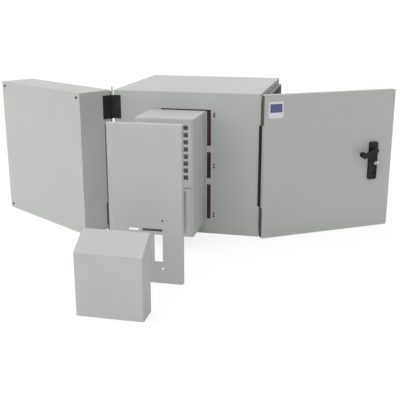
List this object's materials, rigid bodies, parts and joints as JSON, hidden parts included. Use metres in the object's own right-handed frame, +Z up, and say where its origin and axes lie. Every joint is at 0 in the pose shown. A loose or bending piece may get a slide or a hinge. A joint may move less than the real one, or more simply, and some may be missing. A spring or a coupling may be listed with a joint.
{
  "type": "swing-out equipment cabinet",
  "caption": "Folded-steel outdoor equipment cabinet that swings on a shallow wall section, with a hinged door, side cooling unit, and loose shroud and rain hood.",
  "frame": {"origin": "centre of the main section's underside, where it stands", "axes": "+X towards the door end, +Y away from the cooling unit, +Z up"},
  "size_m": [1.7845, 1.515, 0.624],
  "materials": {
    "cabinet_paint": "light grey powder coat",
    "unit_paint": "light grey powder coat",
    "hinge_black": "black coated steel",
    "handle_black": "moulded glass-filled plastic",
    "zinc_steel": "zinc plated",
    "lock_chrome": "satin chrome",
    "gasket_foam": "closed-cell foam",
    "coil_fins": "mill finish fins",
    "fan_black": "moulded plastic"
  },
  "bodies": {
    "wall_section": {"wall_shell": "cabinet_paint", "wall_gasket": "gasket_foam", "upper_swing_leaf_wall": "hinge_black", "lower_swing_leaf_wall": "hinge_black", "upper_swing_pin": "zinc_steel", "lower_swing_pin": "zinc_steel"},
    "main_section": {"cabinet_shell": "cabinet_paint", "door_frame": "cabinet_paint", "swing_frame": "cabinet_paint", "filter_mats": "gasket_foam", "rack_rail_1": "zinc_steel", "rack_rail_2": "zinc_steel", "rack_rail_3": "zinc_steel", "rack_rail_4": "zinc_steel", "upper_swing_leaf_cabinet": "hinge_black", "lower_swing_leaf_cabinet": "hinge_black", "door_hinge_cabinet_leaf": "hinge_black", "door_hinge_pin": "zinc_steel", "unit_housing": "unit_paint", "unit_cap": "unit_paint", "unit_back": "unit_paint", "unit_shelf": "unit_paint", "unit_bolts": "zinc_steel", "condenser_coil": "coil_fins", "evaporator_coil": "coil_fins", "compressor": "fan_black", "fan_guard": "zinc_steel", "fan_ring": "zinc_steel", "fan_motor": "fan_black", "fan_bracket": "zinc_steel"},
    "fan": {"fan_rotor": "fan_black"},
    "door": {"door_panel": "cabinet_paint", "door_gasket": "gasket_foam", "door_hinge_door_leaf": "hinge_black", "handle_plate": "handle_black", "handle_clamp": "zinc_steel", "lock_barrel": "lock_chrome"},
    "handle": {"handle_lever": "handle_black", "handle_spindle": "zinc_steel", "latch_tongue": "zinc_steel", "tongue_nut": "zinc_steel"},
    "lock": {"lock_plug": "lock_chrome"},
    "shroud": {"front_shroud": "unit_paint"},
    "hood": {"rain_hood": "unit_paint"}
  },
  "joints": [
    {"name": "cabinet_swing", "type": "hinge", "parent": "wall_section", "child": "main_section", "pos_m": [-0.321, -0.311, 0.305], "axis": [0, 0, -1], "range_deg": [-57.5, 57.5]},
    {"name": "door_swing", "type": "hinge", "parent": "main_section", "child": "door", "pos_m": [0.316, -0.31117, 0.305], "axis": [0, 0, -1], "range_deg": [-57.5, 57.5]},
    {"name": "handle_turn", "type": "hinge", "parent": "door", "child": "handle", "pos_m": [0.77121, -0.052, 0.35], "axis": [0.5373, -0.8434, 0], "range_deg": [-18, 72]},
    {"name": "lock_turn", "type": "hinge", "parent": "door", "child": "lock", "pos_m": [0.77712, -0.04824, 0.294], "axis": [0.5373, -0.8434, 0], "range_deg": [0, 90]},
    {"name": "fan_spin", "type": "hinge", "parent": "main_section", "child": "fan", "pos_m": [-0.033, -0.51, 0.159], "axis": [0, 1, 0], "continuous": true},
    {"name": "shroud_fit", "type": "slide", "parent": "main_section", "child": "shroud", "axis": [-0.0873, 0.9933, 0.0753], "range_m": [0, 0.33216]},
    {"name": "hood_fit", "type": "slide", "parent": "shroud", "child": "hood", "axis": [0.1081, 0.9905, 0.0848], "range_m": [0, 0.23589]}
  ]
}
